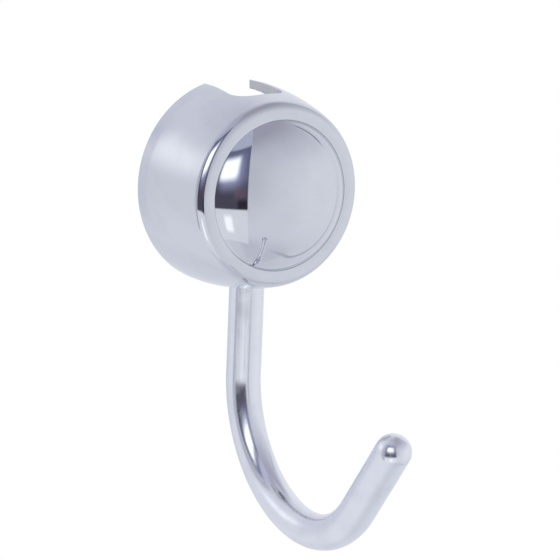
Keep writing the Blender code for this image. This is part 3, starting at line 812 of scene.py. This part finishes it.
# The cover in columns round its axis. Each runs from its cut face over the skirt to the front and
# its opening, and back along the lining to the cut face.
middle = rim_steps - 1 + len(notch) // 2
columns = []
for index, (outside, inside, depth, cut_normal) in enumerate(back_edge):
    forward_angle = math.pi + math.tau * (index - middle) / len(back_edge)
    column, first_angle, first_depth = edge_round(skirt, outside, depth, cut_normal)
    rounding, last_angle, last_depth = edge_round(lining, inside, depth, cut_normal)
    for k in range(1, skirt_rows + 1):
        t = k / skirt_rows
        column.append(on_face(skirt, first_angle + (forward_angle - first_angle) * t,
                              first_depth + (front_outline[0][1] - first_depth) * t))
    column += [turned_to(forward_angle, *corner) for corner in front_outline[1:]]
    start = front_outline[-1][1]
    for k in range(1, lining_rows):
        t = k / lining_rows
        column.append(on_face(lining, forward_angle + (last_angle - forward_angle) * t,
                              start + (last_depth - start) * t))
    columns.append(column + rounding[::-1])

rows = len(columns[0])
points = [point for column in columns for point, normal in column]
normals = [normal for column in columns for point, normal in column]
faces = []
for i in range(len(columns)):
    j = (i + 1) % len(columns)
    for k in range(rows):
        n = (k + 1) % rows
        faces.append((i * rows + k, i * rows + n, j * rows + n, j * rows + k))
cover = mesh_piece("cover", points, normals, faces, "cover")
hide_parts("cover_shell")


# The outside of the cover is polished and plated. Its back edge, its notches and the screw's hole
# are cut clean and plated, but hardly polished, so rougher; their darker chrome colour is painted
# shade. Its inside is as cast under the plate, and grainy.
edge_colour_painted_shade = (0.58, 0.58, 0.59)
cover_chrome = polished_chrome("cover_chrome", chrome_colour, roughness=0.06,
                               hairline_scale=(60, 1800, 1800), wave_size=11 * mm,
                               wave_height=0.02 * mm)
edge_chrome_painted_shade = polished_chrome("edge_chrome_painted_shade", edge_colour_painted_shade, roughness=0.16,
                              hairline_scale=(1500, 1500, 1500), wave_size=3 * mm,
                              wave_height=0.01 * mm)
inside_chrome = left_as_cast(
    "inside_chrome", grey=(0.60, 0.61, 0.63), dark=(0.47, 0.48, 0.51), light=(0.61, 0.62, 0.65),
    dull=0.34, bright=0.22, roughness=0.3, grain_size=0.7 * mm, skin_height=0.012 * mm)


# The boss and the threaded hole of the set screw, in the cover's underside at the lower right,
# where the hook hides it from the room.
screw_angle = math.radians(140)
screw_depth = 6 * mm
boss_radius = 3.6 * mm
boss_end = 19.1 * mm
hole_radius = 2.3 * mm
hole_overrun = 1 * mm
screw_line = Matrix.Translation((0, -screw_depth, 0)) @ Matrix.Rotation(screw_angle, 4, "Y")


def plug(name, radius, low, high):
    """A plain cylinder along the set screw's line, to join on or to cut out."""
    sides = 72
    bm = bmesh.new()
    bmesh.ops.create_cone(bm, cap_ends=True, segments=sides, radius1=radius, radius2=radius,
                          depth=high - low, matrix=Matrix.Translation((0, 0, (low + high) / 2)))
    mesh = bpy.data.meshes.new(name)
    bm.to_mesh(mesh)
    bm.free()
    made = placed(name, mesh)
    made.matrix_world = screw_line
    return made


def bored_out(piece, joined, cut, lookup):
    """Joins and cuts shapes on a piece, and gives each point its own true normal again."""
    sharp_edge = math.radians(30)
    least_likeness = 0.8
    for tool, operation in ((joined, "UNION"), (cut, "DIFFERENCE")):
        change = piece.modifiers.new(tool.name, "BOOLEAN")
        change.operation = operation
        change.object = tool
        change.solver = "EXACT"
    mesh = bpy.data.meshes.new_from_object(piece.evaluated_get(
        bpy.context.evaluated_depsgraph_get()))
    piece.modifiers.clear()
    piece.data = mesh
    for tool in (joined, cut):
        bpy.data.objects.remove(tool)
    mesh.attributes.remove(mesh.attributes["custom_normal"])
    mesh.shade_smooth()
    mesh.set_sharp_from_angle(angle=sharp_edge)
    shaded = [Vector(corner.vector) for corner in mesh.corner_normals]
    for face in mesh.polygons:
        for loop in face.loop_indices:
            true_normal = lookup(mesh.vertices[mesh.loops[loop].vertex_index].co)
            if true_normal is not None and true_normal.dot(face.normal) > least_likeness:
                shaded[loop] = true_normal
    mesh.normals_split_custom_set(shaded)


spots = kdtree.KDTree(len(points))
for index, point in enumerate(points):
    spots.insert(point, index)
spots.balance()


def cover_normal(spot):
    """The cover's normal at a point, from its own mesh or, on a new edge, from its profile."""
    near_face = 0.005 * mm
    index, distance = spots.find(spot)[1:]
    if distance < same_spot:
        return normals[index]
    radius = math.hypot(spot.x, spot.z)
    for profile in (skirt, lining):
        if abs(radius - profile(-spot.y)[0]) < near_face:
            return on_face(profile, math.atan2(spot.x, spot.z), -spot.y)[1]
    return None


bpy.context.view_layer.update()
bored_out(cover, plug("boss", boss_radius, boss_end, rim_radius - wall / 2),
          plug("hole", hole_radius, boss_end - hole_overrun, rim_radius + hole_overrun),
          cover_normal)

# A face of the cover is inside where it lies past the wall, or just short of that and looks in. It
# is a cut edge where it lies within the wall and no deeper than the notches, else it is polished.
polished, as_cast, cut_clean = range(3)
past_wall = wall * 1.1
short_of_wall = wall * 0.9
inward_share = 0.3
inside_end = front_depth - 0.1 * mm
cuts_end = notch_depth + 1 * mm
cover.data.materials.clear()
for chrome in (cover_chrome, inside_chrome, edge_chrome_painted_shade):
    cover.data.materials.append(chrome)
for face in cover.data.polygons:
    spot = face.center
    depth_inside = skirt(-spot.y)[0] - math.hypot(spot.x, spot.z)
    looks_in = face.normal.x * spot.x + face.normal.z * spot.z < -inward_share * spot.length
    deep = depth_inside > past_wall or (looks_in and depth_inside > short_of_wall)
    face.material_index = as_cast if deep and -spot.y < inside_end else polished
    if edge_rounding < depth_inside < wall - edge_rounding and -spot.y < cuts_end:
        face.material_index = cut_clean


# Ring: turned and polished brass, chromed, with a round shoulder that carries on the line of the
# skirt. Its spigot is pressed into the cover's front, and only a hairline joint shows round it.
def turned(name, outline, segments=192):
    """A piece turned about the cover's axis, from (radius, depth, normal) points."""
    closed = outline[0][0] > 0
    points, normals, faces, rings = [], [], [], []
    for radius, depth, normal in outline:
        steps = segments if radius > 0 else 1
        rings.append((len(points), steps))
        for k in range(steps):
            point, facing = turned_to(math.tau * k / steps, radius, depth, normal)
            points.append(point)
            normals.append(facing)
    pairs = list(zip(rings, rings[1:])) + ([(rings[-1], rings[0])] if closed else [])
    for (first, first_steps), (second, second_steps) in pairs:
        for k in range(segments):
            n = (k + 1) % segments
            if first_steps == 1:
                faces.append((first, second + k, second + n))
            elif second_steps == 1:
                faces.append((first + k, second, first + n))
            else:
                faces.append((first + k, second + k, second + n, first + n))
    return mesh_piece(name, points, normals, faces, "cover")


ring_joint = 0.02 * mm
ring_foot_depth = front_depth + ring_joint
ring_seat = 21.3 * mm
ring_seat_radius = 20.72 * mm
ring_crest = 22.7 * mm
ring_shoulder = 2.4 * mm
shoulder_steps = 40
ring_crown = math.radians(5)
inner_crown_share = 0.8
crown_steps = 12
ring_lip = 16.93 * mm
lip_width = 0.04 * mm
lip_drop = 0.01 * mm
lip_fillet = 0.04 * mm
ring_bore = 16.89 * mm
bore_fillet = 0.05 * mm
groove_depth = 22.56 * mm
spigot_radius = 17.5 * mm
spigot_fillet = 0.1 * mm


def turned_arc(centre, radius, start, end, steps):
    """Points of an arc in a turned outline, its angles from the front to the side."""
    made = []
    for k in range(steps + 1):
        a = start + (end - start) * k / steps
        normal = Vector((math.sin(a), math.cos(a)))
        made.append((centre[0] + radius * normal.x, centre[1] + radius * normal.y, normal))
    return made


shoulder_depth = ring_crest - ring_shoulder * math.cos(ring_crown)
seat_angle = math.acos((ring_seat - shoulder_depth) / ring_shoulder)
foot_angle = math.acos((ring_foot_depth - shoulder_depth) / ring_shoulder)
shoulder_middle = ring_seat_radius - ring_shoulder * math.sin(seat_angle)
face = turned_arc((shoulder_middle, shoulder_depth), ring_shoulder, foot_angle, ring_crown,
                  shoulder_steps)
crown_radius = (face[-1][0] - ring_lip) / (2 * math.sin(ring_crown))
crown_middle = (face[-1][0] + ring_lip) / 2
face += turned_arc((crown_middle, ring_crest - crown_radius * math.cos(ring_crown)), crown_radius,
                   ring_crown, -ring_crown * inner_crown_share, crown_steps)[1:]
ring = turned("ring", face + rounded([
    (face[-1][0], face[-1][1], 0),
    (ring_lip - lip_width, ring_crest - lip_drop, lip_fillet),
    (ring_bore, groove_depth, bore_fillet),
    (ring_bore, inner_front_depth, spigot_fillet),
    (spigot_radius, inner_front_depth, spigot_fillet),
    (spigot_radius, ring_foot_depth, spigot_fillet),
    (face[0][0], face[0][1], 0)], steps=8)[1:-1])
ring_chrome = polished_chrome("ring_chrome", chrome_colour, roughness=0.05,
                              hairline_scale=(300, 300, 300), wave_size=8 * mm,
                              wave_height=0.01 * mm)
ring.data.materials.append(ring_chrome)
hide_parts("bezel_ring")


# Dome: a cap pressed from thin brass sheet, polished and chromed, with a short skirt that is
# pushed into the ring's bore. It is cut from an oval: flatter in the middle, round at its edge.
dome_radius = 16.88 * mm
dome_edge = 0.03 * mm
dome_foot = 22.62 * mm
dome_rise = 6.48 * mm
dome_sheet = 1.1 * mm
oval_margin = 1.1 * mm
cap_steps = 48
edge_steps = 6
inner_cap_steps = 24
bend_fillet = 0.5 * mm
bend_drop = 0.6 * mm
dome_skirt_fillet = 0.1 * mm


def cap(half_width, half_height, centre_depth, end_radius, offset, steps):
    """Points of an oval about the cover's axis, from the axis out to a radius."""
    end = math.asin(end_radius / half_width)
    made = []
    for k in range(steps + 1):
        a = end * k / steps
        normal = Vector((half_height * math.sin(a), half_width * math.cos(a))).normalized()
        made.append((half_width * math.sin(a) + offset * normal.x,
                     centre_depth + half_height * math.cos(a) + offset * normal.y, normal))
    return made


crown = dome_radius - dome_edge
oval_half_width = crown + oval_margin
oval_share = 1 - math.sqrt(1 - (crown / (oval_half_width - dome_edge)) ** 2)
core_height = dome_rise / oval_share
oval_centre = dome_foot + dome_rise - dome_edge - core_height
outside = cap(oval_half_width - dome_edge, core_height, oval_centre, crown, dome_edge, cap_steps)
edge_turn = math.atan2(outside[-1][2].x, outside[-1][2].y)
edge_depth = outside[-1][1] - dome_edge * outside[-1][2].y
outside += turned_arc((crown, edge_depth), dome_edge, edge_turn, math.pi / 2, edge_steps)[1:]
inner_radius = dome_radius - dome_sheet
inside = [(r, d, -n) for r, d, n in cap(
    oval_half_width - dome_edge, core_height, oval_centre, inner_radius - bend_fillet,
    dome_edge - dome_sheet, inner_cap_steps)]
skirt_end = rounded([(*inside[-1][:2], 0),
                     (inner_radius, inside[-1][1] - bend_drop, bend_fillet),
                     (inner_radius, inner_front_depth, dome_skirt_fillet),
                     (dome_radius, inner_front_depth, dome_skirt_fillet),
                     (dome_radius, outside[-1][1], 0)])
dome = turned("dome", inside[:-1] + skirt_end[:-1] + outside[::-1])
dome_chrome = polished_chrome("dome_chrome", chrome_colour, roughness=0.035,
                              hairline_scale=(500, 500, 500), wave_size=9 * mm,
                              wave_height=0.012 * mm)
dome.data.materials.append(dome_chrome)
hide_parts("front_dome")


# Set screw: an M4 socket screw in the cover's boss, with its tip just off the plate's lug. Turned
# in, it presses on the lug and holds the cover, and its head stays below the skirt.
set_screw_tip = 18.5 * mm
set_screw_sunk = 0.4 * mm
set_screw_length = skirt(screw_depth)[0] - set_screw_sunk - set_screw_tip
outline = headless(radius=2 * mm, length=set_screw_length, tip_chamfer=0.5 * mm,
                   end_chamfer=0.25 * mm, thread_start=0.4 * mm, pitch=0.7 * mm,
                   thread_depth=0.36 * mm, socket_apothem=1 * mm, socket_depth=2 * mm)
screw("set_screw_visual", "set_screw", outline,
      screw_line @ Matrix.Translation((0, 0, set_screw_tip)), "set_screw")
